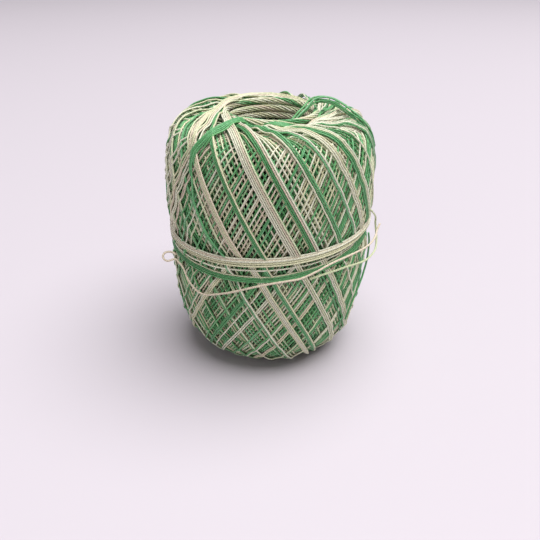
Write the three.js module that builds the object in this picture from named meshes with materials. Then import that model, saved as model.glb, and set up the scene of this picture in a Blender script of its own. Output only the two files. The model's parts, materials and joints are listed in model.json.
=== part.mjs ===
// A ball of crochet thread, machine wound on a core that has been drawn out, standing on its end.
// Millimetres, +Z up, the ball's axis on Z and its foot on Z = 0. The front faces -Y.
import * as THREE from "three";
import { ParametricGeometry } from "three/addons/geometries/ParametricGeometry.js";
import { mergeVertices } from "three/addons/utils/BufferGeometryUtils.js";

// Driving dimensions
const threadDiameter = 0.62;
const height = 77.7;
const waistRadius = 32.5;
const waistHeight = 49.4;
const rimRadius = 12.6; // turns run tangent to this circle where they cross the ends
const rimMargin = 0.6; // the bands start this far outside it
const bandsRound = 20; // bold bands of turns round the ball, in each leaning
const columnsPerBand = 3;
const bandRise = 1.25; // the upper bands above the ground between them, two threads deep
const underRise = 0.75; // the bands that pass beneath
const waistLean = THREE.MathUtils.degToRad(32); // of the turns from upright, at the waist
const leadAzimuth = THREE.MathUtils.degToRad(-55); // where the falling bands lie on top

// The two ends of the barrel: how far each reaches from the waist, and how it rounds over
const topEnd = { reach: height - waistHeight, power: 2.94, taper: 0.112 };
const footEnd = { reach: waistHeight, power: 1.5, taper: 0.097 };
const foot = { innerRadius: 15.5, outerRadius: 20.5, depth: 1, sink: 0.4 }; // the flat spot it stands on

// Ropes of turns stacked down the wall of the hole, from the rim inwards
const ropeRadius = 1.05;
const ropeSlopes = [-0.9, 0, 0.9]; // radians round the rope's section, one row at each
const ropeGroove = 0.75; // how far behind the crests the groove between two ropes lies
const ropeTwist = { ridge: 0.22, hollow: 0.11 };
const topRopes = [
  { crestRadius: 12.3, depth: 1.1 },
  { crestRadius: 11.6, depth: 3.2 },
  { crestRadius: 11.3, depth: 5.3 },
];
const footRopes = [{ crestRadius: 12.3, depth: 1.1 }];
const wallRadius = 12;
const wallCourses = 4;

// Turns wound round the waist last of all: two bundles that part at the front
const waistRise = 0.6; // above the upper bands
const grooveRise = 0.3;
const upperWaist = { height: 44.7, tiltX: 2.67, tiltY: 0.72, ribs: 3, ribWidth: 1.5 };
const lowerWaist = { ribs: 2, ribWidth: 1.6 };
const waistFlank = 0.4;
const rowMargin = { outside: 0.8, inGap: 0.2 }; // bare rows keep this clear of the bundles' rows
const waistGap = { least: 3.6, extra: 3, azimuth: THREE.MathUtils.degToRad(-95), nominal: 4.6 };
const waistFade = { top: 66, foot: 14 }; // where the lattice no longer gives way to the bundles

// Broad bands that cross the end over the other turns
const crossingRise = 0.9;
const crossingHalfWidth = 1.9;
const crossingFade = { none: 50, full: 66 }; // they sink in among the turns down the side
const crossingBands = [
  [
    [-24.5, -20.9, 50],
    [-22.5, -22.8, 64.9],
    [-20.6, -22.3, 71.7],
    [-18.6, -21.3, 74.7],
    [-14.9, -17.9, 77.3],
    [-11, -13.5, 77.7],
    [-6.5, -13, 77.7],
    [0, -14.6, 77.7],
    [7, -15.8, 77.7],
  ],
  [
    [-9.4, 9.4, 77.7],
    [-14.4, 1.1, 77.7],
    [-17.6, -11.7, 77.5],
    [-19.7, -18.8, 75.6],
    [-21.5, -21.3, 71.4],
  ],
];

// How finely curves are followed, in steps, and how near two points are one
const walkSteps = 6000;
const crossingSteps = 60;
const mergeTolerance = 1e-4;

const woundColor = 0x8fae86;

// Loose strands, each along its middle line
const looseSides = 8;
const looseStrands = [
  {
    name: "loose_end_pink",
    color: 0xd9cdbb,
    steps: 46,
    route: [
      [-27.7, -18.8, 38.4],
      [-28.9, -18.5, 39],
      [-30.1, -18.2, 39],
      [-31.2, -18.4, 38.7],
      [-31.7, -19.1, 37.9],
      [-31.2, -19.6, 37.1],
      [-30.2, -19.8, 36.7],
      [-29.1, -19.6, 37],
      [-28, -19.4, 37.2],
      [-27, -19.6, 36.3],
      [-25.6, -20.7, 34.9],
      [-24.5, -21.7, 32.4],
      [-22.9, -23, 30.2],
      [-20.7, -25, 29.1],
      [-18.1, -26.9, 29.4],
      [-15.3, -28.7, 30.7],
      [-11.6, -30.6, 32.4],
      [-7.5, -31.9, 34.2],
      [-3.6, -33, 35.9],
      [0.9, -33.4, 37.2],
      [4.8, -33.1, 37.8],
      [8.7, -32.3, 38.2],
      [12.9, -31, 39.6],
      [17.5, -28.7, 41.2],
      [22, -25.5, 41.7],
      [25.7, -22.3, 41.8],
      [28.4, -20.1, 42.2],
      [30.8, -16.6, 42.4],
      [32.2, -13.4, 42.8],
      [32.9, -11.3, 43.9],
      [33.8, -10, 45.3],
    ],
  },
  {
    name: "loose_strand_pale",
    color: 0xc9d6b4,
    steps: 19,
    route: [
      [11.5, -30.8, 37.3],
      [13.5, -30.3, 37.8],
      [16.2, -28.8, 38],
      [19.1, -27.1, 38.1],
      [22.3, -24.7, 38],
      [24.8, -23, 37.9],
      [27.2, -21.6, 38],
      [29.1, -19.9, 38.1],
      [30.7, -17.6, 38.3],
      [32.1, -15.2, 38.9],
      [32.7, -13, 40.1],
      [32.9, -11, 41.6],
      [32.8, -9.6, 43.2],
      [32.5, -9.3, 45.2],
      [32.1, -10.8, 47.8],
      [29.9, -14.9, 51.7],
    ],
  },
  {
    name: "loose_strand_green",
    color: 0x3f7d4a,
    steps: 14,
    route: [
      [29.4, -16.5, 45.1],
      [29.9, -15.6, 42.7],
      [30.3, -14.1, 39.7],
      [30.5, -12.9, 36.9],
      [30.5, -12.3, 34.3],
      [30.2, -12.6, 32.3],
      [29.7, -13.2, 30.4],
      [29.1, -14.1, 28.5],
      [28.2, -15.6, 26.8],
      [27.3, -16.8, 25],
      [26.4, -18, 23.2],
      [25.6, -18.7, 20.9],
      [24.9, -19, 18.8],
      [24.3, -19, 16.1],
    ],
  },
];

// Sizes worked out from them
const columns = bandsRound * columnsPerBand;
const columnAngle = (2 * Math.PI) / columns;
const halfStep = columnAngle / 2;
const waistPull = waistRadius * Math.sin(waistLean);
const latticeStart = rimRadius + rimMargin;

const smooth = (x) => THREE.MathUtils.smoothstep(x, 0, 1);

// Half of the barrel's outline, by an angle that runs from -90 degrees at the foot to 90 at the top
function outline(angle) {
  const end = angle > 0 ? topEnd : footEnd;
  const rho = waistRadius * Math.cos(angle) ** (2 * end.taper);
  const rise = end.reach * Math.abs(Math.sin(angle)) ** (2 / end.power);
  return { rho, z: waistHeight + Math.sign(angle) * rise };
}

function outlineAtHeight(z) {
  const end = z > waistHeight ? topEnd : footEnd;
  const share = Math.abs(z - waistHeight) / end.reach;
  return waistRadius * (1 - share ** end.power) ** end.taper;
}

function angleAtRadius(rho, end) {
  return Math.acos((rho / waistRadius) ** (1 / (2 * end.taper)));
}

// A turn leans so that it runs tangent to the rim at the ends and at the winding angle on the waist
function turnLean(rho) {
  const share = (rho - rimRadius) / (waistRadius - rimRadius);
  const pull = rimRadius + (waistPull - rimRadius) * share * share;
  return Math.asin(pull / rho);
}

// Walks down a turn from the rim of the top to the rim of the foot, with the angle it has swept
function walkTurn() {
  const from = angleAtRadius(latticeStart, topEnd);
  const to = -angleAtRadius(latticeStart, footEnd);
  const walk = [{ ...outline(from), swept: 0 }];
  for (let i = 1; i <= walkSteps; i += 1) {
    const last = walk[i - 1];
    const next = outline(from + ((to - from) * i) / walkSteps);
    const length = Math.hypot(next.rho - last.rho, next.z - last.z);
    const rho = (next.rho + last.rho) / 2;
    walk.push({ ...next, swept: last.swept + (length * Math.tan(turnLean(rho))) / rho });
  }
  return walk;
}

function sampleWalk(walk, key, value) {
  const sign = Math.sign(walk[walk.length - 1][key] - walk[0][key]);
  const i = Math.max(1, walk.findIndex((point) => sign * (point[key] - value) >= 0));
  const [a, b] = [walk[i - 1], walk[i]];
  const share = (value - a[key]) / (b[key] - a[key]);
  const mix = (name) => a[name] + (b[name] - a[name]) * share;
  return { rho: mix("rho"), z: mix("z"), swept: mix("swept") };
}

// Rows of a waist bundle, as offsets from its middle: a flank, its ribs with grooves between, a flank
function bundleRows(bundle, middle) {
  const half = (bundle.ribs * bundle.ribWidth) / 2 - bundle.ribWidth / 2;
  const rows = [{ offset: -half - waistFlank }];
  for (let i = 0; i < 2 * bundle.ribs - 1; i += 1) {
    const offset = -half + (i * bundle.ribWidth) / 2;
    rows.push({ offset, rise: i % 2 === 0 ? waistRise : grooveRise });
  }
  rows.push({ offset: half + waistFlank });
  return rows.map((row) => ({ z: middle + row.offset, rise: row.rise })).reverse();
}

const lowerHeight = upperWaist.height - waistGap.nominal;
const upperRows = bundleRows(upperWaist, upperWaist.height);
const lowerRows = bundleRows(lowerWaist, lowerHeight);
const upperTop = upperRows[0].z;
const upperFoot = upperRows[upperRows.length - 1].z;
const lowerTop = lowerRows[0].z;
const lowerFoot = lowerRows[lowerRows.length - 1].z;

// Rows down the outside: one each half column of sweep, so that both leanings follow mesh edges,
// with the rows of the waist bundles in their place
function outsideRows() {
  const walk = walkTurn();
  const total = Math.floor(walk[walk.length - 1].swept / halfStep);
  const rows = [];
  for (let i = 0; i <= total; i += 1) {
    const row = { ...sampleWalk(walk, "swept", i * halfStep), lattice: true };
    const inBundles = row.z < upperTop + rowMargin.outside && row.z > lowerFoot - rowMargin.outside;
    const inGap = row.z < upperFoot - rowMargin.inGap && row.z > lowerTop + rowMargin.inGap;
    if (!inBundles || inGap) rows.push(row);
  }
  for (const row of [...upperRows, ...lowerRows]) {
    rows.push({ ...sampleWalk(walk, "z", row.z), lattice: true, rise: row.rise });
  }
  return { rows: rows.sort((a, b) => a.swept - b.swept), total };
}

// Rows over one rope in the wall of the hole, in the order from the wall's middle outwards
function ropeRows(rope, up) {
  const middle = up > 0 ? height - rope.depth : rope.depth;
  const slopes = ropeSlopes.map((slope) => ({
    rho: rope.crestRadius + ropeRadius * (1 - Math.cos(slope)),
    z: middle + up * ropeRadius * Math.sin(slope),
    twist: Math.cos(slope),
  }));
  const groove = { rho: rope.crestRadius + ropeGroove, z: middle - up * ropeRadius };
  return [groove, ...slopes];
}

// All rows once round the section of the ball: down the outside, then up the wall of the hole.
// Each rope row sweeps on by a column, and the wall makes up a whole number of bands.
function sectionRows() {
  const { rows, total } = outsideRows();
  rows.forEach((row, i) => {
    const before = rows[Math.max(0, i - 1)];
    const after = rows[Math.min(rows.length - 1, i + 1)];
    const length = Math.hypot(after.rho - before.rho, after.z - before.z);
    row.normal = { rho: (before.z - after.z) / length, z: (after.rho - before.rho) / length };
  });
  const footWall = footRopes.flatMap((rope) => ropeRows(rope, -1)).reverse();
  const topWall = [...topRopes].reverse().flatMap((rope) => ropeRows(rope, 1));
  const rest = total + 2 * (footWall.length + topWall.length + 1);
  const bandSteps = 2 * columnsPerBand;
  const wallSteps = (Math.ceil(rest / bandSteps) * bandSteps - rest) / wallCourses;
  let swept = total;
  const add = (row, steps) => {
    swept += steps;
    rows.push({ ...row, swept: swept * halfStep });
  };
  footWall.forEach((row) => add(row, 2));
  const lowest = footWall[footWall.length - 1].z;
  for (let i = 1; i <= wallCourses; i += 1) {
    const z = THREE.MathUtils.lerp(lowest, topWall[0].z, i / (wallCourses + 1));
    add({ rho: wallRadius, z }, wallSteps);
  }
  topWall.forEach((row) => add(row, 2));
  add(rows[0], 2);
  return rows;
}

// A ridge that is full on every third line and gone on the two between
function ridge(line) {
  const place = THREE.MathUtils.euclideanModulo(line, columnsPerBand);
  return Math.max(0, 1 - Math.min(place, columnsPerBand - place));
}

const crossingLines = crossingBands.map((points) => {
  const curve = new THREE.CatmullRomCurve3(points.map((p) => new THREE.Vector3(...p)));
  return curve.getSpacedPoints(crossingSteps);
});

function crossingHeight(point) {
  const distances = crossingLines.map((line) => Math.min(...line.map((p) => p.distanceTo(point))));
  const nearest = Math.min(...distances) / crossingHalfWidth;
  const fade = smooth((point.z - crossingFade.none) / (crossingFade.full - crossingFade.none));
  return nearest < 1 ? crossingRise * fade * Math.sqrt(1 - nearest ** 4) : 0;
}

// How far the waist bundles rise or sink at an azimuth, and the lattice beside them with them
function bundleShift(azimuth) {
  const upper = upperWaist.tiltX * Math.cos(azimuth) + upperWaist.tiltY * Math.sin(azimuth);
  const opening = ((1 + Math.cos(azimuth - waistGap.azimuth)) / 2) ** 4;
  const gap = waistGap.least + waistGap.extra * opening;
  return { upper, lower: upper - (gap - waistGap.nominal) };
}

function shiftedHeight(z, azimuth) {
  const { upper, lower } = bundleShift(azimuth);
  if (z >= upperFoot) {
    const fade = smooth((waistFade.top - z) / (waistFade.top - upperTop));
    return z + upper * fade;
  }
  if (z <= lowerTop) {
    const fade = smooth((z - waistFade.foot) / (lowerFoot - waistFade.foot));
    return z + lower * fade;
  }
  return z + THREE.MathUtils.lerp(lower, upper, (z - lowerTop) / (upperFoot - lowerTop));
}

// One point of the wound surface, by its column round the ball and its row round the section
function woundPoint(column, row, target) {
  const azimuth = column * columnAngle + row.swept;
  let { rho, z } = row;
  if (row.lattice) {
    if (z > waistFade.foot && z < waistFade.top) {
      z = shiftedHeight(z, azimuth);
      rho = outlineAtHeight(z);
    }
    const lead = smooth(1 + Math.cos(azimuth - leadAzimuth));
    const falling = ridge(column) * THREE.MathUtils.lerp(underRise, bandRise, lead);
    const rising = ridge(column + row.swept / halfStep) * THREE.MathUtils.lerp(bandRise, underRise, lead);
    target.set(rho * Math.cos(azimuth), rho * Math.sin(azimuth), z);
    const crossing = crossingHeight(target);
    const ground = Math.max(falling, rising) - bandRise;
    let rise = row.rise ?? ground;
    if (crossing > 0 && row.rise === undefined) rise = Math.max(rise, crossing);
    const onFoot = z < foot.depth && rho > foot.innerRadius && rho < foot.outerRadius;
    if (onFoot) rise = 0;
    rho += row.normal.rho * rise;
    z += row.normal.z * rise;
    z = onFoot ? 0 : Math.max(0, z - foot.sink * smooth(1 - z / waistHeight));
  } else if (row.twist) {
    rho -= row.twist * (column % columnsPerBand === 0 ? ropeTwist.ridge : -ropeTwist.hollow);
  }
  target.set(rho * Math.cos(azimuth), rho * Math.sin(azimuth), z);
}

function material(color) {
  return new THREE.MeshStandardMaterial({ color, roughness: 0.6, metalness: 0 });
}

function woundBall() {
  const rows = sectionRows();
  const lastRow = rows.length - 1;
  const surface = (u, v, target) => {
    woundPoint(Math.round(v * columns), rows[Math.round(u * lastRow)], target);
  };
  const geometry = new ParametricGeometry(surface, lastRow, columns);
  geometry.deleteAttribute("normal");
  geometry.deleteAttribute("uv");
  const mesh = new THREE.Mesh(mergeVertices(geometry, mergeTolerance), material(woundColor));
  mesh.geometry.computeVertexNormals();
  mesh.name = "wound_ball";
  return mesh;
}

function looseStrand({ name, color, steps, route }) {
  const curve = new THREE.CatmullRomCurve3(route.map((p) => new THREE.Vector3(...p)), false, "centripetal");
  const section = new THREE.Shape();
  for (let i = 0; i < looseSides; i += 1) {
    const angle = (2 * Math.PI * i) / looseSides;
    const point = [(threadDiameter / 2) * Math.cos(angle), (threadDiameter / 2) * Math.sin(angle)];
    if (i === 0) section.moveTo(...point);
    else section.lineTo(...point);
  }
  const geometry = new THREE.ExtrudeGeometry(section, { steps, extrudePath: curve });
  const mesh = new THREE.Mesh(geometry, material(color));
  mesh.name = name;
  return mesh;
}

const ball = new THREE.Group();
ball.add(woundBall());
looseStrands.forEach((strand) => ball.add(looseStrand(strand)));

export default ball;
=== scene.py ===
# %% [markdown]
# A ball of crochet thread, wound the way a machine winds it.
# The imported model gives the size, the hole and the loose strands. This script lays the fine turns over
# that form, one after another, so that each rests on what lies beneath it, as real thread does.
# Everything is in metres, with the ball's axis on Z and its foot on Z = 0. The front faces -Y.

import json
import math

import bmesh
import bpy
import numpy as np
from mathutils import Matrix, Vector

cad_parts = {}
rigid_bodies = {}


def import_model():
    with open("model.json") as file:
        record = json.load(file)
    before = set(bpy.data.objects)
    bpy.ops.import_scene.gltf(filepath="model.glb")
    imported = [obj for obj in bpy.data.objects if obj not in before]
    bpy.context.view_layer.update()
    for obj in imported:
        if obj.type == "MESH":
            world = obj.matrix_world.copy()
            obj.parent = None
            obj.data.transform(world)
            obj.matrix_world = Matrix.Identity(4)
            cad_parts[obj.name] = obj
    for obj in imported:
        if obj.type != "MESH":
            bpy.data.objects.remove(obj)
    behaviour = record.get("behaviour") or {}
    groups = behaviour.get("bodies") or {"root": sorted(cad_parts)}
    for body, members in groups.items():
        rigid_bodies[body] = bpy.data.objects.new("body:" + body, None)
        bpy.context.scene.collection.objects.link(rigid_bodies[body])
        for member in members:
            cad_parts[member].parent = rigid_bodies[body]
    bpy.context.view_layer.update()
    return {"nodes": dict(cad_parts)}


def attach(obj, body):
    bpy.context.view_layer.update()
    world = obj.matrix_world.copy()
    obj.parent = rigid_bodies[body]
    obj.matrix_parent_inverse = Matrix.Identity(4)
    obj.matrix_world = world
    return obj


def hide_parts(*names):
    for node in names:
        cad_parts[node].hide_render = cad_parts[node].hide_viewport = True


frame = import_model()
print("frame nodes:", sorted(frame["nodes"]))

# %% [markdown]
# Driving sizes come first. The thread is 0.62 mm thick where it stands free, and thinner where the winder
# pulled it tight. Most other sizes are named after the part of the ball that they shape. Angles are
# measured round the axis, from +X towards +Y.

# %% Driving sizes
MM = 0.001
thread = 0.62 * MM
tight_thread = 0.5 * MM
ball_height = 77.7 * MM
waist_radius = 32.5 * MM
waist_height = 49.4 * MM
rim_radius = 12.6 * MM
waist_lean = math.radians(32)
rng = np.random.default_rng(7)
print(f"thread {thread / MM:.2f} mm, ball {2 * waist_radius / MM:.0f} by {ball_height / MM:.0f} mm")

# %% [markdown]
# The camera stands close to the ball and looks down at it, as a phone held in the hand does. It comes
# before anything else because the loose strands are judged by what it sees.

# %% Camera
camera_place = Vector((0, -177.44 * MM, 121.5 * MM))
look_down = math.radians(29.03)
camera_roll = math.radians(0.6)
camera_data = bpy.data.cameras.new("camera")
camera_data.sensor_width = 36
camera_data.lens = 40.0
camera_data.shift_x = 0.002
camera_data.clip_start = 1 * MM
camera = bpy.data.objects.new("camera", camera_data)
bpy.context.scene.collection.objects.link(camera)
tilt = Matrix.Rotation(math.pi / 2 - look_down, 4, "X")
camera.matrix_world = Matrix.Translation(camera_place) @ tilt @ Matrix.Rotation(camera_roll, 4, "Z")
bpy.context.scene.camera = camera
print("camera at", [round(value, 4) for value in camera_place])

# %% [markdown]
# Shader maths reads best as plain arithmetic. A small class wraps a socket, so that an expression such as
# 1 - mask adds the Math nodes it needs. All other nodes come from one method.


# %% A socket that does arithmetic
class Field:
    """A number that varies over a surface, wrapped so that Python's operators add Math nodes."""

    def __init__(self, tree, socket):
        self.tree, self.socket = tree, socket

    def math(self, operation, *others):
        values = dict(enumerate([self, *others]))
        return self.tree.add("ShaderNodeMath", {"operation": operation}, values)

    def __add__(self, other):
        return self.math("ADD", other)

    __radd__ = __add__

    def __mul__(self, other):
        return self.math("MULTIPLY", other)

    __rmul__ = __mul__

    def __sub__(self, other):
        return self.math("SUBTRACT", other)

    def __rsub__(self, other):
        return (self * -1.0) + other

    def between(self, low, high):
        """0 below low, 1 above high, and a soft step between."""
        settings = {"interpolation_type": "SMOOTHSTEP"}
        return self.tree.add("ShaderNodeMapRange", settings, {0: self, 1: low, 2: high}, "Result")


class Finish:
    """A material whose nodes are made by one method."""

    def __init__(self, name):
        self.material = bpy.data.materials.new(name)
        self.material.use_nodes = True
        self.nodes = self.material.node_tree.nodes
        self.links = self.material.node_tree.links
        self.shader = self.nodes["Principled BSDF"]

    def add(self, kind, settings=None, values=None, output=0):
        node = self.nodes.new(kind)
        for key, value in (settings or {}).items():
            if key == "steps":
                self.set_steps(node.color_ramp, value)
            else:
                setattr(node, key, value)
        for key, value in (values or {}).items():
            self.give(node.inputs[key], value)
        return Field(self, node.outputs[output])

    def set_steps(self, ramp, colors):
        """Fills a ramp with equal steps, one for each colour."""
        ramp.interpolation = "CONSTANT"
        ramp.elements.remove(ramp.elements[1])
        ramp.elements[0].position = 0
        ramp.elements[0].color = (*colors[0], 1)
        for index, color in enumerate(colors[1:], 1):
            ramp.elements.new(index / len(colors)).color = (*color, 1)

    def give(self, socket, value):
        if isinstance(value, Field):
            self.links.new(value.socket, socket)
        else:
            socket.default_value = value

    def mix(self, factor, first, second):
        values = {0: factor, 6: first, 7: second}
        return self.add("ShaderNodeMix", {"data_type": "RGBA"}, values, 2)

    def set(self, **values):
        for key, value in values.items():
            self.give(self.shader.inputs[key.replace("_", " ")], value)


print("node maths ready")

# %% [markdown]
# The thread is dyed in long stretches, green and then cream, with a soft change between. Each strand's UV
# map says where a point lies on that repeat: U runs from the middle of a green stretch, 0, to the middle of
# a cream one, 1, and back. V tells the way round the thread, inside one of a few rows, and every row has
# shades of its own. A colour then depends on the UV map alone, so all the turns share one small map.

# %% The thread's finish
dye_half_repeat = 165 * MM
row_edge = 0.1
ply_pitch = 1.7 * MM
green_shades = [
    (0.085, 0.330, 0.110),
    (0.130, 0.420, 0.165),
    (0.065, 0.270, 0.080),
    (0.170, 0.470, 0.210),
    (0.100, 0.350, 0.125),
    (0.080, 0.300, 0.095),
    (0.140, 0.430, 0.155),
    (0.115, 0.380, 0.125),
]
cream_shades = [
    (0.700, 0.685, 0.450),
    (0.760, 0.760, 0.560),
    (0.740, 0.630, 0.480),
    (0.630, 0.690, 0.420),
    (0.780, 0.770, 0.600),
    (0.660, 0.640, 0.400),
    (0.720, 0.660, 0.480),
    (0.680, 0.710, 0.470),
]
shade_rows = len(cream_shades)
pink_row, pale_row, green_row = 2, 3, 0


def thread_finish():
    finish = Finish("crochet_thread")
    place = finish.add("ShaderNodeUVMap", {"uv_map": "OFBake"})
    u = finish.add("ShaderNodeSeparateXYZ", None, {0: place}, "X")
    v = finish.add("ShaderNodeSeparateXYZ", None, {0: place}, "Y")
    greens = finish.add("ShaderNodeValToRGB", {"steps": green_shades}, {0: v})
    creams = finish.add("ShaderNodeValToRGB", {"steps": cream_shades}, {0: v})
    row = (v * shade_rows).math("FLOOR")
    spot = finish.add("ShaderNodeCombineXYZ", None, {0: u * 30.0, 1: row * 7.3})
    blotch = finish.add("ShaderNodeTexNoise", None, {"Vector": spot, "Scale": 1.0, "Detail": 3.0})
    dyed = (u + (blotch - 0.5) * 0.16).between(0.44, 0.58)
    color = finish.mix(dyed, greens, creams)
    twist = (u * (dye_half_repeat / ply_pitch) + v * float(2 * shade_rows)) * math.tau
    ply = twist.math("SINE") * 0.5 + 0.5
    # In the grooves of the ply twist the colour is darkened by up to 16 per cent: painted shade between the
    # plies.
    shaded = finish.mix(ply.between(0.0, 0.55) * 0.16 + 0.84, (0, 0, 0, 1), color)
    fibre_spot = finish.add("ShaderNodeCombineXYZ", None, {0: u * 900.0, 1: v * 260.0})
    fibre = finish.add("ShaderNodeTexNoise", None, {"Vector": fibre_spot, "Scale": 1.0, "Detail": 2.0})
    relief = ply * 0.8 + fibre * 0.25
    bump = {"Height": relief, "Strength": 0.55, "Distance": 0.08 * MM}
    normal = finish.add("ShaderNodeBump", None, bump, "Normal")
    finish.set(Base_Color=shaded, Roughness=fibre * 0.2 + 0.36, Normal=normal)
    finish.set(Sheen_Weight=0.25, Sheen_Roughness=0.4)
    return finish.material


thread_material = thread_finish()
print("thread finish:", len(thread_material.node_tree.nodes), "nodes")

# %% [markdown]
# A strand is a round section swept along its middle line. Blender's curve bevel does the sweep, and the
# curve is then made a mesh, so that each corner can be given its place on the dye repeat. The curve's own
# end caps come loose from the tube, so the ends are closed afterwards, as holes with shared edges.

# %% Sweep strands into a piece
strand_sides = 6


def map_strands(mesh, strands):
    """Gives every face corner its place along the dye and round the thread."""
    rings = [len(strand["points"]) for strand in strands]
    owner = np.repeat(np.arange(len(strands)), np.array(rings) * strand_sides)
    ring = np.concatenate([np.repeat(np.arange(count), strand_sides) for count in rings])
    travel = np.concatenate([np.repeat(strand["travel"], strand_sides) for strand in strands])
    side = np.tile(np.arange(strand_sides), sum(rings)).astype(float)
    dye = 1 - np.abs(travel % 2 - 1)
    rows = np.array([strand["row"] for strand in strands])
    corner = np.zeros(len(mesh.loops), np.int32)
    start = np.zeros(len(mesh.polygons), np.int32)
    total = np.zeros(len(mesh.polygons), np.int32)
    mesh.loops.foreach_get("vertex_index", corner)
    mesh.polygons.foreach_get("loop_start", start)
    mesh.polygons.foreach_get("loop_total", total)
    uv = np.full((len(mesh.loops), 2), 0.5)
    quads = start[total == 4][:, None] + np.arange(4)
    points = corner[quads]
    around = side[points]
    wraps = np.ptp(around, axis=1, keepdims=True) > strand_sides / 2
    around = np.where(wraps & (around < 1), strand_sides, around) / strand_sides
    later = ring[points] > ring[points].mean(1, keepdims=True)
    later ^= np.ptp(ring[points], axis=1, keepdims=True) > 1
    rise = (dye[points] * np.where(later, 1, -1)).sum(1, keepdims=True)
    around = np.where(rise < 0, 1 - around, around)
    uv[quads, 0] = dye[points]
    uv[quads, 1] = (rows[owner[points]] + row_edge + (1 - 2 * row_edge) * around) / shade_rows
    for first, count in zip(start[total != 4], total[total != 4]):
        angle = np.arange(count) * math.tau / count
        point = corner[first]
        uv[first:first + count, 0] = np.clip(dye[point] + 0.002 * np.cos(angle), 0, 1)
        uv[first:first + count, 1] = (rows[owner[point]] + 0.5 + 0.1 * np.sin(angle)) / shade_rows
    layer = mesh.uv_layers.new(name="OFBake")
    layer.uv.foreach_set("vector", uv.astype(np.float32).ravel())


def close_ends(mesh):
    shape = bmesh.new()
    shape.from_mesh(mesh)
    open_edges = [edge for edge in shape.edges if edge.is_boundary]
    bmesh.ops.holes_fill(shape, edges=open_edges, sides=strand_sides)
    shape.to_mesh(mesh)
    shape.free()


def sweep_strands(name, strands, node, width=tight_thread):
    curve = bpy.data.curves.new(name, "CURVE")
    curve.dimensions = "3D"
    curve.fill_mode = "FULL"
    curve.bevel_depth = width / 2
    curve.bevel_resolution = (strand_sides - 4) // 2
    for strand in strands:
        spline = curve.splines.new("POLY")
        spline.points.add(len(strand["points"]) - 1)
        padded = np.hstack([strand["points"], np.ones((len(strand["points"]), 1))])
        spline.points.foreach_set("co", padded.astype(np.float32).ravel())
        spline.use_cyclic_u = strand.get("closed", False)
    holder = bpy.data.objects.new(name + "_line", curve)
    bpy.context.scene.collection.objects.link(holder)
    graph = bpy.context.evaluated_depsgraph_get()
    mesh = bpy.data.meshes.new_from_object(holder.evaluated_get(graph))
    bpy.data.objects.remove(holder)
    while mesh.uv_layers:
        mesh.uv_layers.remove(mesh.uv_layers[0])
    close_ends(mesh)
    map_strands(mesh, strands)
    mesh.materials.clear()
    mesh.materials.append(thread_material)
    mesh.shade_smooth()
    piece = bpy.data.objects.new(name, mesh)
    bpy.context.scene.collection.objects.link(piece)
    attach(piece, "root")
    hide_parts(node)
    triangles = sum(len(face.vertices) - 2 for face in mesh.polygons)
    print(f"{name}: {len(strands)} strands, {triangles} triangles")
    return piece


# %% [markdown]
# Three strands stand free of the ball. Their routes repeat those of the solids that they replace. A smooth
# curve through the points is a centripetal Catmull-Rom spline, which never overshoots between close points.

# %% The loose strands
pink_route = [
    (-27.7, -18.8, 38.4), (-28.9, -18.5, 39), (-30.1, -18.2, 39), (-31.2, -18.4, 38.7),
    (-31.7, -19.1, 37.9), (-31.2, -19.6, 37.1), (-30.2, -19.8, 36.7), (-29.1, -19.6, 37),
    (-28, -19.4, 37.2), (-27, -19.6, 36.3), (-25.6, -20.7, 34.9), (-24.5, -21.7, 32.4),
    (-22.9, -23, 30.2), (-20.7, -25, 29.1), (-18.1, -26.9, 29.4), (-15.3, -28.7, 30.7),
    (-11.6, -30.6, 32.4), (-7.5, -31.9, 34.2), (-3.6, -33, 35.9), (0.9, -33.4, 37.2),
    (4.8, -33.1, 37.8), (8.7, -32.3, 38.2), (12.9, -31, 39.6), (17.5, -28.7, 41.2),
    (22, -25.5, 41.7), (25.7, -22.3, 41.8), (28.4, -20.1, 42.2), (30.8, -16.6, 42.4),
    (32.2, -13.4, 42.8), (32.9, -11.3, 43.9), (33.8, -10, 45.3),
]
pale_route = [
    (11.5, -30.8, 37.3), (13.5, -30.3, 37.8), (16.2, -28.8, 38), (19.1, -27.1, 38.1),
    (22.3, -24.7, 38), (24.8, -23, 37.9), (27.2, -21.6, 38), (29.1, -19.9, 38.1),
    (30.7, -17.6, 38.3), (32.1, -15.2, 38.9), (32.7, -13, 40.1), (32.9, -11, 41.6),
    (32.8, -9.6, 43.2), (32.5, -9.3, 45.2), (32.1, -10.8, 47.8), (29.9, -14.9, 51.7),
]
green_route = [
    (29.4, -16.5, 45.1), (29.9, -15.6, 42.7), (30.3, -14.1, 39.7), (30.5, -12.9, 36.9),
    (30.5, -12.3, 34.3), (30.2, -12.6, 32.3), (29.7, -13.2, 30.4), (29.1, -14.1, 28.5),
    (28.2, -15.6, 26.8), (27.3, -16.8, 25), (26.4, -18, 23.2), (25.6, -18.7, 20.9),
    (24.9, -19, 18.8), (24.3, -19, 16.1),
]


def smooth_route(points, steps=8):
    """A centripetal Catmull-Rom curve through the points, with even steps between each two."""
    points = np.array(points, float)
    before = 2 * points[0] - points[1]
    after = 2 * points[-1] - points[-2]
    chain = np.vstack([before, points, after])
    line = []
    for a, b, c, d in zip(chain, chain[1:], chain[2:], chain[3:]):
        ab, bc, cd = (math.sqrt(np.linalg.norm(q - p)) for p, q in ((a, b), (b, c), (c, d)))
        leave_b = ((b - a) / ab - (c - a) / (ab + bc) + (c - b) / bc) * bc
        reach_c = ((c - b) / bc - (d - b) / (bc + cd) + (d - c) / cd) * bc
        for step in range(steps):
            t = step / steps
            start = (2 * t**3 - 3 * t**2 + 1) * b + (t**3 - 2 * t**2 + t) * leave_b
            line.append(start + (3 * t**2 - 2 * t**3) * c + (t**3 - t**2) * reach_c)
    line.append(points[-1])
    return np.array(line)


def run_along(points):
    steps = np.linalg.norm(np.diff(points, axis=0), axis=1)
    return np.concatenate([[0], np.cumsum(steps)])


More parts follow.
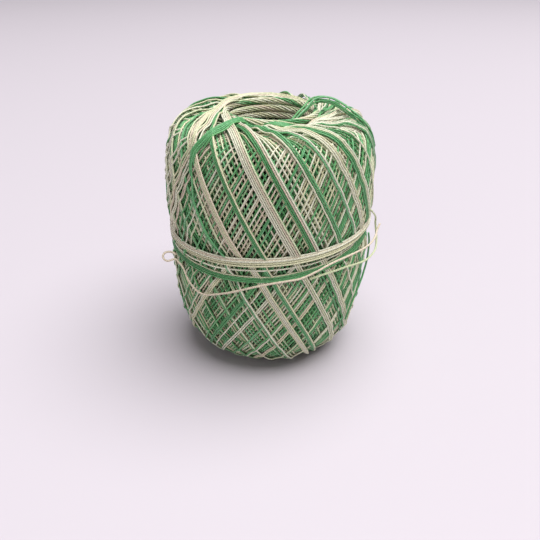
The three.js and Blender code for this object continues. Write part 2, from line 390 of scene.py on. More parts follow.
def even_strand(points, travel, row, step):
    """A strand whose points lie an even step apart, ready to be swept."""
    run = run_along(points)
    places = np.linspace(0, run[-1], max(2, round(run[-1] / step) + 1))
    points = np.stack([np.interp(places, run, points[:, axis]) for axis in range(3)], 1)
    return {"points": points, "travel": np.interp(places, run, travel), "row": row}


def make_loose(name, route, row, dye):
    """A loose strand. dye is 0 where its middle is green and 1 where it is cream."""
    line = smooth_route(np.array(route) * MM)
    run = run_along(line)
    travel = dye + (run - run[-1] / 2) / dye_half_repeat
    strand = even_strand(line, travel, row, 0.5 * MM)
    piece = sweep_strands(name + "_strand", [strand], name, thread)
    print(f"{name}: {run[-1] / MM:.1f} mm long")


make_loose("loose_end_pink", pink_route, pink_row, 1)
make_loose("loose_strand_pale", pale_route, pale_row, 1)
make_loose("loose_strand_green", green_route, green_row, 0)

# %% [markdown]
# The ball's section is a barrel: straight-sided at the waist, square-shouldered at the top and rounder
# towards the foot. Each half follows one formula. The section is sampled once into a table by the distance
# down it from the rim of the top, which is the second coordinate of the wound surface. The first one is
# the angle round the axis.

# %% The ball's section
ends = {
    "top": {"reach": ball_height - waist_height, "power": 2.94, "taper": 0.112, "sign": 1},
    "foot": {"reach": waist_height, "power": 1.5, "taper": 0.097, "sign": -1},
}
section_start = 12.0 * MM
section_rows = 6000
bend_blur = 121


def section_angle(radius, end):
    return math.acos((radius / waist_radius) ** (1 / (2 * ends[end]["taper"])))


def build_section():
    first, last = section_angle(section_start, "top"), -section_angle(section_start, "foot")
    angles = np.linspace(first, last, section_rows)
    radius, height = np.zeros(section_rows), np.zeros(section_rows)
    for end in ends.values():
        part = angles * end["sign"] >= 0
        radius[part] = waist_radius * np.cos(angles[part]) ** (2 * end["taper"])
        rise = end["reach"] * np.abs(np.sin(angles[part])) ** (2 / end["power"])
        height[part] = waist_height + end["sign"] * rise
    down = np.concatenate([[0], np.cumsum(np.hypot(np.diff(radius), np.diff(height)))])
    even = np.linspace(0, down[-1], section_rows)
    radius, height = np.interp(even, down, radius), np.interp(even, down, height)
    out_r, out_z = -np.gradient(height, even), np.gradient(radius, even)
    turning = -np.gradient(np.unwrap(np.arctan2(out_z, out_r)), even)
    padded = np.pad(turning, bend_blur // 2, mode="edge")
    bend = np.maximum(np.convolve(padded, np.ones(bend_blur) / bend_blur, "valid"), 0)
    size = np.hypot(out_r, out_z)
    return {"down": even, "radius": radius, "height": height,
            "out_r": out_r / size, "out_z": out_z / size, "bend": bend}


section = build_section()
section_length = section["down"][-1]


def section_at(down, key):
    return np.interp(down, section["down"], section[key])


def down_at_height(height):
    return np.interp(-height, -section["height"], section["down"])


def wound_points(azimuth, down, lift):
    radius = section_at(down, "radius") + section_at(down, "out_r") * lift
    height = section_at(down, "height") + section_at(down, "out_z") * lift
    height = np.maximum(height, thread / 2)
    return np.stack([radius * np.cos(azimuth), radius * np.sin(azimuth), height], 1)


print(f"section: {section_length / MM:.1f} mm from rim to rim")

# %% [markdown]
# A turn leaves the rim of the hole along a tangent, leans more upright over the shoulder, and crosses the
# waist at the winding angle. Its pull towards the axis grows smoothly from the rim to the waist. The path
# is worked out once for each distance at which a turn may pass the rim.

# %% The path of a turn
waist_pull = waist_radius * math.sin(waist_lean)
pass_steps = 900
face_rows = 1500
bundle_height = 44.7 * MM
pass_overlap = 9.0 * MM
path_step = 0.2 * MM
fall_factor = 0.85
rise_factor = {"top": 0.85, "foot": 1.1}
face_height = 77.0 * MM
shoulder_reach = {"top": 5 * MM, "foot": 9 * MM}


def side_share(down, end):
    """How far down the side a point is: 0 on the end's face and 1 on the straight side."""
    height = section_at(down, "height")
    inward = (face_height - height if end == "top" else height) / shoulder_reach[end]
    inward = np.clip(inward, 0, 1)
    return inward * inward * (3 - 2 * inward)


def walk_pass(nearest, end, side_factor):
    """A pass from where it touches its circle round the hole to just beyond the waist bundles."""
    if end == "top":
        radius_table = section["radius"]
        far = down_at_height(bundle_height - pass_overlap)
    else:
        radius_table = section["radius"][::-1]
        far = section_length - down_at_height(bundle_height + pass_overlap)
    near = np.interp(nearest, radius_table[:face_rows], section["down"][:face_rows])
    eased = 1 - np.cos(np.linspace(0, math.pi / 2, 2 * pass_steps + 1))
    depth = near + (far - near) * eased
    edge, middle = depth[::2], depth[1::2]
    radius = np.interp(middle, section["down"], radius_table)
    share = (radius - nearest) / (waist_radius - nearest)
    pull = nearest + (waist_pull - nearest) * share**2
    sine = np.clip(pull / radius, 0, 1 - 1e-7)
    down = edge if end == "top" else section_length - edge
    down_middle = middle if end == "top" else section_length - middle
    slope = sine / np.sqrt(1 - sine**2) * (1 + (side_factor - 1) * side_share(down_middle, end))
    swept = np.concatenate([[0], np.cumsum(np.diff(edge) * slope / radius)])
    at_waist = np.interp(abs(down_at_height(bundle_height) - down[0]), np.abs(down - down[0]), swept)
    return {"down": down, "swept": swept, "at_waist": at_waist}


pass_cache = {}


def turn_pass(nearest, end, side_factor):
    key = (round(nearest / MM, 1), end, side_factor)
    if key not in pass_cache:
        pass_cache[key] = walk_pass(key[0] * MM, end, side_factor)
    return pass_cache[key]


fall_sweep = {end: turn_pass(rim_radius, end, fall_factor)["at_waist"] for end in ends}
rise_sweep = {end: turn_pass(rim_radius, end, rise_factor[end])["at_waist"] for end in ends}
half_turn = fall_sweep["top"] + fall_sweep["foot"]
print(f"a falling pass sweeps {math.degrees(fall_sweep['top']):.0f} degrees to the waist bundle and "
      f"{math.degrees(fall_sweep['foot']):.0f} below it")

# %% [markdown]
# The pile is a map of how high the thread stands at every place on the wound surface. A new strand is
# stretched over it: it rests on the highest spots and spans the hollows between them, as a taut string
# does, and is then stamped into the map for the next one to rest on. Cotton is soft, so a strand presses
# into the ones it crosses. Now and then the whole pile is let down, so that its crests stay near the
# ball's section, and what lies deeper sinks with it.

# %% The pile of thread
cells_round = 1080
cell_down = 0.2 * MM
cells_down = int(section_length / cell_down) + 2
pile = np.zeros(cells_round * cells_down)
sunk = np.zeros(cells_down)
cell_places = np.arange(cells_down) * cell_down
across = np.linspace(-0.48, 0.48, 9) * tight_thread
pressed = 0.68
crown = pressed * np.sqrt((tight_thread / 2) ** 2 - across**2)
crest_share = 90
crest_blur = 7
crest_edge = int(1.6 * MM / cell_down)
soft_bend = 140.0


def cells(azimuth, down):
    turn = np.floor(azimuth / math.tau * cells_round).astype(np.int64) % cells_round
    row = np.clip((down / cell_down).astype(np.int64), 0, cells_down - 1)
    return turn * cells_down + row


def sideways(azimuth, down, offset):
    """The line moved sideways over the surface. offset may be a row of several moves."""
    radius = section_at(down, "radius")
    step_round, step_down = np.gradient(azimuth) * radius, np.gradient(down)
    size = np.hypot(step_round, step_down) + 1e-12
    side_round, side_down = -step_down / size / radius, step_round / size
    offset = np.atleast_1d(offset)
    return azimuth[:, None] + offset * side_round[:, None], down[:, None] + offset * side_down[:, None]


def taut(run, support, fall_away):
    """The line of a strand pulled tight over the support: the least arch that clears it."""
    places, height = run.tolist(), (support + fall_away).tolist()
    keep = [0]
    for i in range(1, len(places)):
        while len(keep) > 1:
            a, b = keep[-2], keep[-1]
            rise_b, rise_i = height[b] - height[a], height[i] - height[a]
            if rise_b * (places[i] - places[a]) > rise_i * (places[b] - places[a]):
                break
            keep.pop()
        keep.append(i)
    return np.interp(run, run[keep], (support + fall_away)[keep]) - fall_away


def lay(azimuth, down, ease=5):
    """Lays one strand on the pile, along a line on the wound surface. Returns its middle's lift."""
    index = cells(*sideways(azimuth, down, across))
    support = (pile[index] + crown).max(1)
    radius = section_at(down, "radius")
    step_round, step_down = np.gradient(azimuth) * radius, np.gradient(down)
    step = np.hypot(step_round, step_down)
    run = np.concatenate([[0], np.cumsum((step[1:] + step[:-1]) / 2)])
    share = (step_round / (step + 1e-12)) ** 2
    bend = section_at(down, "bend") * (1 - share) + section_at(down, "out_r") / radius * share
    bend = np.maximum(bend, 0) + soft_bend
    fall_away = -np.concatenate([[0], np.cumsum(np.cumsum(bend * step)[:-1] * step[1:])])
    lift = taut(run, support, fall_away)
    lift = np.convolve(np.pad(lift, ease // 2, mode="edge"), np.ones(ease) / ease, "valid")
    np.maximum.at(pile, index, lift[:, None] + crown)
    return lift, run


def let_down(allowed=0.0):
    """Lowers the pile wherever its crests stand higher than is allowed."""
    crest = np.percentile(pile.reshape(cells_round, cells_down), crest_share, axis=0)
    crest[:crest_edge] = crest[:2 * crest_edge].max()
    crest[-crest_edge:] = crest[-2 * crest_edge:].max()
    padded = np.pad(crest, crest_blur // 2, mode="edge")
    crest = np.convolve(padded, np.ones(crest_blur) / crest_blur, "valid")
    crest = np.maximum(crest - allowed, 0)
    pile.reshape(cells_round, cells_down)[:] -= crest
    sunk[:] += crest


laid = []


def lay_strand(group, azimuth, down, travel, row, ease=5):
    """Lays a strand and keeps it, with how far the pile had sunk by then."""
    lift, run = lay(azimuth, down, ease)
    sunk_then = np.interp(down, cell_places, sunk)
    strand = {"group": group, "azimuth": azimuth, "down": down, "lift": lift + sunk_then, "row": row}
    strand["travel"] = travel + run / dye_half_repeat
    laid.append(strand)
    return strand


print(f"pile: {cells_round} by {cells_down} cells")

# %% [markdown]
# One turn over the top rises from the waist, wraps the rim of the hole and falls to the waist again. A turn
# under the foot does the same below. Their ends are tucked under the bundle that is wound round the waist.

# %% Lay a turn
bundle_tilt = (2.3 * MM, 0.72 * MM)
bundle_drop = 1.1 * MM
tuck = 0.5 * MM
wrap_points = 12
under_depth = {"top": 1.1 * MM, "foot": 0.5 * MM}
under_reach = 6.0 * MM


def bundle_middle(azimuth):
    tilt = bundle_tilt[0] * np.cos(azimuth) + bundle_tilt[1] * np.sin(azimuth)
    return bundle_height - bundle_drop + tilt


def turn_line(end, rise_touch, fall_touch, nearest):
    """A whole turn. The two angles say where its passes would touch the rim circle itself."""
    sign = ends[end]["sign"]
    rise, fall = turn_pass(nearest, end, rise_factor[end]), turn_pass(nearest, end, fall_factor)
    rise_touch = rise_touch - sign * (rise_sweep[end] - rise["at_waist"])
    fall_touch = fall_touch + sign * (fall_sweep[end] - fall["at_waist"])
    wrap = np.linspace(rise_touch, fall_touch, wrap_points)[1:-1]
    rise_azimuth = rise_touch - sign * rise["swept"]
    fall_azimuth = fall_touch + sign * fall["swept"]
    azimuth = np.concatenate([rise_azimuth[::-1], wrap, fall_azimuth])
    down = np.concatenate([rise["down"][::-1], np.full(len(wrap), rise["down"][0]), fall["down"]])
    return azimuth, down


def even_path(azimuth, down):
    """The same line on the wound surface, with its points path_step apart."""
    radius = section_at(down, "radius")
    steps = np.hypot(np.diff(azimuth) * (radius[1:] + radius[:-1]) / 2, np.diff(down))
    keep = np.concatenate([[True], steps > 1e-9])
    run = np.concatenate([[0], np.cumsum(steps)])
    places = np.arange(0, run[-1], path_step)
    return np.interp(places, run[keep], azimuth[keep]), np.interp(places, run[keep], down[keep])


def lay_turn(group, end, rise_touch, fall_touch, nearest, travel, row):
    """Lays one turn. On the ball's end the rising half goes under the falling ones beside it."""
    azimuth, down = turn_line(end, rise_touch, fall_touch, nearest)
    height, middle = section_at(down, "height"), bundle_middle(azimuth)
    inside = height > middle - tuck if end == "top" else height < middle + tuck
    azimuth, down = even_path(azimuth[inside], down[inside])
    strand = lay_strand(group, azimuth, down, travel, row)
    touch = np.argmin(down) if end == "top" else np.argmax(down)
    before_touch = (touch - np.arange(len(down))) * path_step
    rising = np.clip(before_touch / under_reach, 0, 1) * (1 - side_share(down, end))
    strand["lift"] = strand["lift"] - under_depth[end] * rising


# %% [markdown]
# Beneath the bold bands the thread lies in an even lattice of single strands, in several layers. Each
# layer's turns follow the winder's own order, a few steps on round the ball each time. The layers lie
# nearly one on another, so that the gaps between the strands go deep and look dark.

# %% The lattice
lattice_groups = ["inner_turns", "middle_turns", "outer_turns"]
lattice_turns = 132
lattice_advance = 19
lattice_wander = 0.14
layer_shift = 0.07
rim_spread = 3.6 * MM
let_down_every = 22
turn_step = math.tau / lattice_turns


def lay_lattice():
    for layer, group in enumerate(lattice_groups):
        offset = layer * layer_shift * turn_step
        for turn in range(lattice_turns):
            touch = (turn * lattice_advance % lattice_turns) * turn_step + offset
            for end in ends:
                sign = ends[end]["sign"]
                drift = np.abs(rng.normal(0, lattice_wander * turn_step, 2)) * sign
                nearest = rim_radius + rng.uniform(0.05, 1) * rim_spread
                travel = rng.uniform(0, 2)
                lay_turn(group, end, touch - drift[0], touch + drift[1], nearest, travel,
                         int(rng.integers(shade_rows)))
            if turn % let_down_every == let_down_every - 1:
                let_down()


lay_lattice()
print(f"lattice: {len(laid)} strands, pile sunk {sunk.mean() / MM:.1f} mm, at most {sunk.max() / MM:.1f} mm")

# %% [markdown]
# The last turns lie side by side in bold bands of one to five strands. Each band is listed with the angle,
# in degrees, at which it touches the rim of the top, and the dye of each strand from left to right: g for
# green, c for cream and p for pinkish cream. Bands are laid in order of falling angle, so that the first
# ones listed lie on top at the front. The turns under the foot have a list of their own, because the dye
# has changed by then. Over the top, the strands of a band come up one by one, spaced as in the lattice,
# and only fall together as a band. Under the foot, the bands that start behind the ball do the same.

# %% The bold bands
band_pitch = math.radians(1.16)
band_rim_step = 0.5 * MM
foot_spread_from = 0
top_bands = [
    (-210.5, "c"), (-204, "pccp"), (-190.5, "ggc"), (-174, "cccpc"), (-163, "ggpc"), (-147, "cgg"),
    (-134.5, "gc"), (-126, "ccc"), (-116.5, "ggcc"), (-103, "c"), (-88, "gcc"), (-73, "cc"),
    (-56, "ccp"), (-46.5, "gg"), (-39, "cc"), (-29, "gg"), (-20, "gc"), (-11, "cc"),
    (3, "ggc"), (17, "cccg"), (31, "gg"), (45, "cgc"), (59, "gggc"), (73, "ccc"),
    (87, "gcgg"), (101, "cc"), (115, "ggc"), (129, "cccc"), (142, "gg"),
]
foot_bands = [
    (-213.7, "gc"), (-200, "cccc"), (-193, "ggc"), (-176, "ccc"), (-166, "g"), (-161.7, "gccc"),
    (-148, "c"), (-134, "gg"), (-118, "cc"), (-103, "gc"), (-88, "cg"), (-79, "gc"), (-73, "ccc"),
    (-56, "g"), (-51, "gg"), (-46.5, "c"), (-39, "cc"), (-29, "g"), (-20, "gc"), (-11, "pc"),
    (3, "ggc"), (17, "ccc"), (31, "gg"), (45, "cgc"), (59, "ggg"), (73, "cc"),
    (87, "gcg"), (101, "cc"), (115, "ggc"), (129, "ccc"), (142, "gg"),
]
front_limit = -100
falling_middle, next_middle = 0.5, 1.45
band_dye_scatter = 0.14
half_length = 62 * MM
band_rise = 0.9 * MM
let_down_bands = 3
cream_rows, green_rows = [0, 1, 4, 4, 7], [0, 1, 3, 4, 6]


def shade_for(letter):
    if letter == "p":
        return pink_row
    return int(rng.choice(cream_rows if letter == "c" else green_rows))


def lay_band(end, start, letters):
    spare = rng.uniform(0, 1.2) * MM
    seen_pass = next_middle if start < front_limit else falling_middle
    turned = half_turn if end == "foot" else 0
    apart = turn_step * ends[end]["sign"] if end == "top" or start > foot_spread_from else 0
    for place, letter in enumerate(letters):
        touch = math.radians(start) + turned + (place - (len(letters) - 1) / 2) * band_pitch
        nearest = rim_radius + spare + (len(letters) - 1 - place) * band_rim_step
        dye = (0 if letter == "g" else 1) + rng.uniform(-band_dye_scatter, band_dye_scatter)
        travel = dye - seen_pass * half_length / dye_half_repeat
        rise_touch = touch - (len(letters) - 1 - place) * apart
        lay_turn(end + "_bands", end, rise_touch, touch, nearest, travel, shade_for(letter))


def lay_bands():
    bands = [("top", *band) for band in top_bands] + [("foot", *band) for band in foot_bands]
    for number, band in enumerate(sorted(bands, key=lambda band: -band[1])):
        lay_band(*band)
        if number % let_down_bands == 0:
            let_down(band_rise)


lay_bands()
print("bands:", sum("bands" in strand["group"] for strand in laid), "strands")

# %% [markdown]
# Two bands cross the top over everything else. Their routes are points on the ball, in millimetres. Each
# point is carried to the nearest place on the section, and the strands then lie side by side. Four of the
# green band's five strands slip under others on their way down, each at a height of its own. The first
# point of the green route and the first three of the cream one are guesses, and so is the way in which the
# green one runs straight on under the waist bundle.

# %% The crossing bands
green_crossing = [
    (8.4, -10.2, 76.5), (6.5, -13.4, 77.7), (3.7, -15, 77.7), (1.1, -15.1, 77.7),
    (-2.3, -12.2, 77.7), (-6.6, -11.5, 77.7), (-9.6, -14.7, 77.7), (-12.4, -18.6, 77.5),
    (-15.1, -21.2, 76.3), (-17.3, -22.6, 74.8), (-18.9, -22.9, 73.1), (-20.2, -23.1, 71),
    (-20.9, -23.4, 68.9), (-21.2, -23.7, 66.6), (-21.2, -24.3, 64.2), (-21.1, -24.6, 61.7),
    (-21.1, -24.9, 58.7), (-20.6, -25.4, 56.6),
    (-19.8, -26.1, 54.3), (-18.6, -27, 51.7), (-17, -27.8, 48.9), (-15.1, -29, 46.2),
    (-13.1, -29.9, 43.6),
]
green_sinks = [73.5, 69, None, 66, 71.5]
cream_crossing = [
    (12.2, 3.5, 75.5), (11.6, 8.5, 77.3), (8.2, 14, 77.6),
    (3, 18, 77.6), (-3, 17.6, 77.6), (-7.6, 15.6, 77.6), (-12.1, 10.9, 77.7), (-14, 3.9, 77.7),
    (-15.3, -2.5, 77.7), (-16.5, -9.2, 77.6), (-17.7, -15.3, 77.3), (-18.9, -18.1, 76.2),
    (-19.8, -19.7, 75), (-20.4, -21, 73.7), (-21.2, -21.7, 71.8), (-22.1, -21.6, 70.5),
    (-23.3, -21.1, 68.6), (-24.5, -20.4, 66.2), (-26, -19.2, 63.1), (-27.2, -17.9, 59.9),
    (-28.2, -16.6, 56.6), (-29.6, -14, 50.5), (-31, -10, 43),
]
side_by_side = 0.52 * MM
fan_apart = 0.5 * MM
sink_depth, sink_reach = 1.8 * MM, 4.0 * MM
crossing_ease = 15
crossing_dye_scatter, route_steps = 0.1, 12


def carried_on(route):
    """The route with one more point, straight on from its last two, under the waist bundle."""
    before, last = np.array(route[-2]), np.array(route[-1])
    return route + [tuple(2 * last - before)]


def to_surface(route):
    line = smooth_route(np.array(route) * MM, route_steps)
    radius, height = np.hypot(line[:, 0], line[:, 1]), line[:, 2]
    gap = np.hypot(section["radius"] - radius[:, None], section["height"] - height[:, None])
    azimuth = np.unwrap(np.arctan2(line[:, 1], line[:, 0]))
    return even_path(azimuth, section["down"][gap.argmin(1)])


def lay_crossing(route, letters, travel, fan=0.0, sinks=None):
    """Lays a band along a route. Its strands part by the fan's amount on their way down the side.

    sinks may give the height, in millimetres, below which each strand slips under the turns around it."""
    azimuth, down = to_surface(route)
    share = side_share(down, "top")
    for place, letter in enumerate(letters):
        offset = (place - (len(letters) - 1) / 2) * (side_by_side + fan * share)
        round_axis, along = sideways(azimuth, down, offset[:, None])
        inside = section_at(along[:, 0], "height") > bundle_middle(round_axis[:, 0]) - tuck
        dye = travel + rng.uniform(-crossing_dye_scatter, crossing_dye_scatter)
        round_axis, along = round_axis[inside, 0], along[inside, 0]
        strand = lay_strand("crossing_turns", round_axis, along, dye, shade_for(letter), crossing_ease)
        if sinks and sinks[place]:
            below = sinks[place] * MM - section_at(along, "height")
            strand["lift"] = strand["lift"] - sink_depth * np.clip(below / sink_reach, 0, 1)


lay_crossing(cream_crossing, "cpcc", 0.75, fan_apart)
lay_crossing(carried_on(green_crossing), "ggggg", -0.3, sinks=green_sinks)
print("crossing bands laid")

# %% [markdown]
# The last turns run round the waist, over all the others. They part at the front into an upper and a lower
# bundle, with one stray turn in the gap and one more over the upper bundle.

# %% The waist bundles
gap_least, gap_extra, gap_azimuth = 3.6 * MM, 2.1 * MM, math.radians(-95)
waist_pitch = 0.5 * MM
lap_over = math.radians(20)
waist_squeeze = 1.0 * MM
squeeze_reach = 2.4 * MM
waist_ease = 51
round_from, round_front, round_to = 0.5 * math.pi, 1.5 * math.pi, 2.5 * math.pi
waist_dye = 0.15
upper_stray, gap_stray, gap_wander = 0.2 * MM, 0.6 * MM, 0.5 * MM


def lower_middle(azimuth):
    opening = ((1 + np.cos(azimuth - gap_azimuth)) / 2) ** 4
    return bundle_middle(azimuth) - gap_least - gap_extra * opening


def gap_middle(azimuth):
    return 0.5 * (bundle_middle(azimuth) + lower_middle(azimuth))


def lay_round(middle, offset, letter, wander=0.12 * MM):
    """One closed turn round the waist, dyed alike on both sides of the front."""
    azimuth = np.arange(round_from - lap_over, round_to + lap_over, path_step / waist_radius)
    phase = rng.uniform(0, math.tau, 2)
    sway = np.sin(azimuth + phase[0]) + 0.6 * np.sin(3 * azimuth + phase[1])
    down = down_at_height(middle(azimuth) + offset + wander * sway)
    strand = lay_strand("waist_turns", azimuth, down, 0, shade_for(letter), waist_ease)
    once = (azimuth >= round_from) & (azimuth < round_to)
    for key in ("azimuth", "down", "lift"):
        strand[key] = strand[key][once]
    from_front = np.abs(strand["azimuth"] - round_front) * waist_radius
    strand["travel"] = (0 if letter == "g" else 1) + waist_dye + from_front / dye_half_repeat
    strand["closed"] = True


def lay_waist():
    for place, letter in enumerate("cpccc"):
        lay_round(bundle_middle, (2 - place) * waist_pitch, letter)
    for place, letter in enumerate("cggg"):
        lay_round(lower_middle, (1.5 - place) * waist_pitch, letter)
    lay_round(bundle_middle, upper_stray, "c")
    lay_round(gap_middle, gap_stray, "c", gap_wander)


lay_waist()
sunk_at_last = sunk + band_rise
print(f"waist bundles laid, pile sunk {sunk.mean() / MM:.1f} mm in all")

# %% [markdown]
# The strands are now placed for good. Each one's lift is taken from how far the pile has sunk since. What
# stands proud is pressed down, more on the two ends than on the side. The waist bundles squeeze the ball,
# the rim dips at the front right, and the foot draws in a little. These amounts were chosen. The
# even points are then swept into pieces, each small enough to handle.

# %% Sweep the wound turns
fine_step = {"inner_turns": 3.2, "middle_turns": 2.7, "outer_turns": 2.4, "top_bands": 1.3,
             "foot_bands": 1.3, "crossing_turns": 1.0, "waist_turns": 1.3}
flattened, side_flattened = 0.25, 0.6
end_proud, side_proud = 0.7 * MM, 1.8 * MM
foot_round = 16 * MM
foot_tuck_height, foot_tuck = 16 * MM, 0.14
dip_depth, dip_reach = 1.0 * MM, 4.0 * MM
dip_azimuth, dip_width = math.radians(-65), math.radians(32)


def rim_dip(points):
    """The rim of the hole hangs a little lower at the front right."""
    radius = np.hypot(points[:, 0], points[:, 1])
    turned = np.arctan2(points[:, 1], points[:, 0]) - dip_azimuth
    turned = (turned + math.pi) % math.tau - math.pi
    near = np.exp(-(turned / dip_width) ** 2 - (np.maximum(radius - rim_radius, 0) / dip_reach) ** 2)
    return dip_depth * near * (points[:, 2] > waist_height)


def drawn_in(azimuth, down):
    """How far the waist bundles squeeze the ball at each place."""
    height = section_at(down, "height")
    gaps = [(height - middle(azimuth)) / squeeze_reach for middle in (bundle_middle, lower_middle)]
    return waist_squeeze * np.exp(-np.minimum(*np.abs(gaps)) ** 2)


def place_strand(strand, step):
    """The strand's points. What stands proud is pressed flat, most of all on the two ends."""
    lift = strand["lift"] - np.interp(strand["down"], cell_places, sunk_at_last)
    above_foot = np.clip(section_at(strand["down"], "height") / foot_round, 0, 1)
    on_side = side_share(strand["down"], "top") * above_foot
    lift = np.where(lift > 0, lift * (flattened + (side_flattened - flattened) * on_side), lift)
    proud = end_proud + (side_proud - end_proud) * on_side
    lift = np.where(lift > 0, proud * np.tanh(lift / proud), lift)
    lift -= drawn_in(strand["azimuth"], strand["down"])
    points = wound_points(strand["azimuth"], strand["down"], lift)
    points[:, 2] -= rim_dip(points)
    low = np.clip(1 - points[:, 2] / foot_tuck_height, 0, 1)
    points[:, :2] *= 1 - foot_tuck * low[:, None] ** 2
    placed = even_strand(points, strand["travel"], strand["row"], step)
    if strand.get("closed"):
        placed["closed"] = True
    return placed


for group, step in fine_step.items():
    strands = [place_strand(strand, step * MM) for strand in laid if strand["group"] == group]
    sweep_strands(group, strands, "wound_ball")

# %% [markdown]
# The wall of the hole shows the turns' inner ends, drawn together into ropes. Each rope is
# seven strands twisted round a ring. Below the ropes the wall is a lattice of steep strands.

# %% The ropes and the wall of the hole
rope_radius = 1.05 * MM
rope_strands = 7
rope_twists = 5
ropes = [
    {"crest": 12.3 * MM, "height": ball_height - 1.1 * MM, "dye": 0.5},
    {"crest": 11.6 * MM, "height": ball_height - 3.2 * MM, "dye": 0.75},
    {"crest": 11.3 * MM, "height": ball_height - 5.3 * MM, "dye": 0.75},
    {"crest": 12.3 * MM, "height": 1.1 * MM, "dye": 0.4},
]
dye_scatter = 0.22
rope_points, rope_step, rope_swell = 360, 1.1 * MM, 0.08


def rope_strand(rope, number):
    azimuth = np.linspace(0, math.tau, rope_points + 1)[:-1]
    swell = 1 + rope_swell * np.sin(2 * azimuth + rope["crest"] / MM)
    reach = (rope_radius - thread / 2) * swell
    twist = rope_twists * azimuth + number * math.tau / rope_strands
    radius = rope["crest"] + rope_radius - reach * np.cos(twist)
    height = rope["height"] + reach * np.sin(twist)
    points = np.stack([radius * np.cos(azimuth), radius * np.sin(azimuth), height], 1)
    from_start = np.minimum(azimuth, math.tau - azimuth) * rope["crest"] / dye_half_repeat
    travel = rope["dye"] + rng.uniform(-dye_scatter, dye_scatter) + from_start
    strand = even_strand(points, travel, int(rng.integers(shade_rows)), rope_step)
    strand["closed"] = True
    return strand


rope_lines = [rope_strand(rope, number) for rope in ropes for number in range(rope_strands)]
sweep_strands("rim_ropes", rope_lines, "wound_ball")

wall_radius = 12.1 * MM
wall_strands = 40
wall_sweep = math.radians(150)
wall_scatter = 0.03
wall_foot, wall_short = 2.5 * MM, 9 * MM
wall_points, wall_step = 60, 2.4 * MM
wall_length_mm = 75


def wall_strand(number, leaning, layer):
    share = np.linspace(0, 1, wall_points)
    lean = leaning * wall_sweep * share
    azimuth = number * math.tau / wall_strands + lean + rng.normal(0, wall_scatter)
    height = wall_foot + share * (ball_height - wall_short)
    radius = np.full(wall_points, wall_radius + layer * thread)
    points = np.stack([radius * np.cos(azimuth), radius * np.sin(azimuth), height], 1)
    travel = rng.uniform(0, 2) + share * wall_length_mm * MM / dye_half_repeat
    return even_strand(points, travel, int(rng.integers(shade_rows)), wall_step)


wall_lines = [wall_strand(number, leaning, layer)
              for leaning, layer in ((1, 0), (-1, 1)) for number in range(wall_strands)]
sweep_strands("wall_turns", wall_lines, "wound_ball")

# %% [markdown]
# A green bundle stands up from the rim at the right in an open loop. Its strands turn slowly round one
# another and stand a little apart at the middle.

# %% The standing loop
loop_route = [
    (4.5, -11.6, 74.6), (6.6, -9.3, 76.6), (8.1, -8, 78), (9.8, -5.5, 78.9), (11.2, -2.1, 79.6),
    (12.9, 0.2, 79.9), (15.2, 1.2, 80), (17.4, 0.9, 79.8), (19.3, -0.9, 79.4), (20.9, -3.3, 78.9),
    (22.3, -6.5, 78.4), (24.3, -8.3, 77.2), (26.7, -8.1, 75), (28.6, -7.2, 72.4), (30.3, -5.4, 68),
]
loop_strands = 5
loop_turn = 2.2
loop_spread_mm, loop_swell_mm = 0.5, 0.35


def loop_strand(number):
    line = smooth_route(np.array(loop_route) * MM, 10)
    forward = np.gradient(line, axis=0)
    forward /= np.linalg.norm(forward, axis=1, keepdims=True)
    side = np.cross(forward, (0, 0, 1.0))
    side /= np.linalg.norm(side, axis=1, keepdims=True)
    up = np.cross(side, forward)
    share = np.linspace(0, 1, len(line))[:, None]
    turn = number * math.tau / loop_strands + loop_turn * share
    spread = (loop_spread_mm + loop_swell_mm * np.sin(math.pi * share)) * MM
    points = line + spread * (np.cos(turn) * side + np.sin(turn) * up)
    travel = rng.uniform(-0.2, 0.2) + run_along(points) / dye_half_repeat
    return even_strand(points, travel, shade_for("g"), 1.0 * MM)


loop_lines = [loop_strand(number) for number in range(loop_strands)]
sweep_strands("standing_loop", loop_lines, "wound_ball")

# %% [markdown]
# Under all the turns lies the body of the ball: thousands of older turns that only show as shadow between
# the strands. It is spun from one closed section, with the wall of the hole inside. Its colours are painted
# shade: near-black green in the gaps and dark green on a pattern of crossing strands, because the older
# turns are the same thread as the ones above, dark only from the shadow deep between them.

# %% The body under the turns
body_depth = 4.2 * MM
body_wall = 13.0 * MM
body_steps = 96
body_points = 44


def body_section():
    places = np.linspace(2 * MM, section_length - 2 * MM, body_points)
    points = wound_points(np.zeros(body_points), places, np.full(body_points, -body_depth))
    wall = [(body_wall, points[-1][2] + 1 * MM), (body_wall, points[0][2] - 1 * MM)]
    return [(max(x, body_wall), z) for x, _, z in points] + wall


def painted_shade_finish():
    finish = Finish("painted_deep_shade")
    place = finish.add("ShaderNodeTexCoord", None, None, "Object")
    x = finish.add("ShaderNodeSeparateXYZ", None, {0: place}, "X")
    y = finish.add("ShaderNodeSeparateXYZ", None, {0: place}, "Y")
    z = finish.add("ShaderNodeSeparateXYZ", None, {0: place}, "Z")
    angle = y.math("ARCTAN2", x)
    climb = z * (180 / math.pi * 1.2)
    falling, rising = angle * 12.0 + climb * 12.0, angle * 12.0 - climb * 12.0
    strands = (falling.math("SINE") + rising.math("SINE")) * 0.25
    noise = finish.add("ShaderNodeTexNoise", None, {"Vector": place, "Scale": 900.0, "Detail": 3.0})
    mask = (strands + noise).between(0.3, 0.9)
    # Painted shade: both colours are far darker than the thread and stand in for the shadow deep in the
    # ball, the darker one in the gaps between the patterned strands.
    color = finish.mix(mask, (0.008, 0.025, 0.008, 1), (0.04, 0.07, 0.025, 1))
    bump = {"Height": mask, "Strength": 0.6, "Distance": 0.3 * MM}
    normal = finish.add("ShaderNodeBump", None, bump, "Normal")
    finish.set(Base_Color=color, Roughness=noise * 0.2 + 0.6, Normal=normal)
    return finish.material


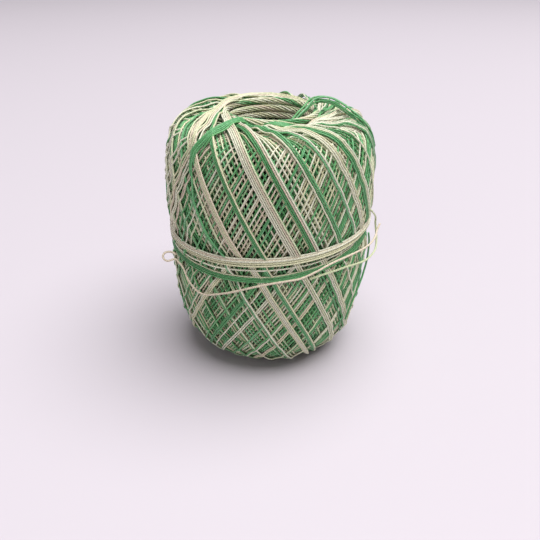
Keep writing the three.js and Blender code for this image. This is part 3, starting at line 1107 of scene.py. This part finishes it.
def make_body():
    shape = bmesh.new()
    ring = [shape.verts.new((x, 0, z)) for x, z in body_section()]
    edges = [shape.edges.new((a, b)) for a, b in zip(ring, ring[1:] + ring[:1])]
    bmesh.ops.spin(shape, geom=ring + edges, cent=(0, 0, 0), axis=(0, 0, 1), angle=math.tau,
                   steps=body_steps, use_merge=True)
    bmesh.ops.remove_doubles(shape, verts=shape.verts, dist=0.01 * MM)
    bmesh.ops.recalc_face_normals(shape, faces=shape.faces)
    mesh = bpy.data.meshes.new("ball_body")
    shape.to_mesh(mesh)
    shape.free()
    mesh.shade_smooth()
    mesh.materials.append(painted_shade_finish())
    piece = bpy.data.objects.new("ball_body", mesh)
    bpy.context.scene.collection.objects.link(piece)
    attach(piece, "root")
    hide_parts("wound_ball")
    print("ball_body:", len(mesh.polygons), "faces")


make_body()

# %% [markdown]
# The ball stands on a pale sheet of card under a wide soft light above and to its right, with a weak light
# from the front so that the shaded side keeps its colour. The plain Standard view keeps more contrast
# between the bright top and the shaded side than the default one.

# %% Floor and light
floor_size = 6.0


def make_floor():
    shape = bmesh.new()
    bmesh.ops.create_grid(shape, x_segments=2, y_segments=2, size=floor_size / 2)
    mesh = bpy.data.meshes.new("floor")
    shape.to_mesh(mesh)
    shape.free()
    finish = Finish("pale_card")
    finish.set(Base_Color=(0.55, 0.505, 0.55, 1), Roughness=0.7)
    mesh.materials.append(finish.material)
    floor = bpy.data.objects.new("floor", mesh)
    bpy.context.scene.collection.objects.link(floor)


def add_light(name, place, size, watts):
    data = bpy.data.lights.new(name, "AREA")
    data.shape = "DISK"
    data.size = size
    data.energy = watts
    light = bpy.data.objects.new(name, data)
    light.location = place
    aim = Vector((0, 0, 0.04)) - Vector(place)
    light.rotation_euler = aim.to_track_quat("-Z", "Y").to_euler()
    bpy.context.scene.collection.objects.link(light)


make_floor()
add_light("top_light", (0.6, 0.0, 2.4), 2.8, 112)
add_light("front_light", (-0.3, -0.8, 0.5), 0.6, 1)
world = bpy.data.worlds.new("studio")
world.use_nodes = True
world.node_tree.nodes["Background"].inputs["Color"].default_value = (1.0, 0.96, 1.0, 1)
world.node_tree.nodes["Background"].inputs["Strength"].default_value = 0.2
bpy.context.scene.world = world
bpy.context.scene.view_settings.view_transform = "Standard"
print("floor and lights ready")
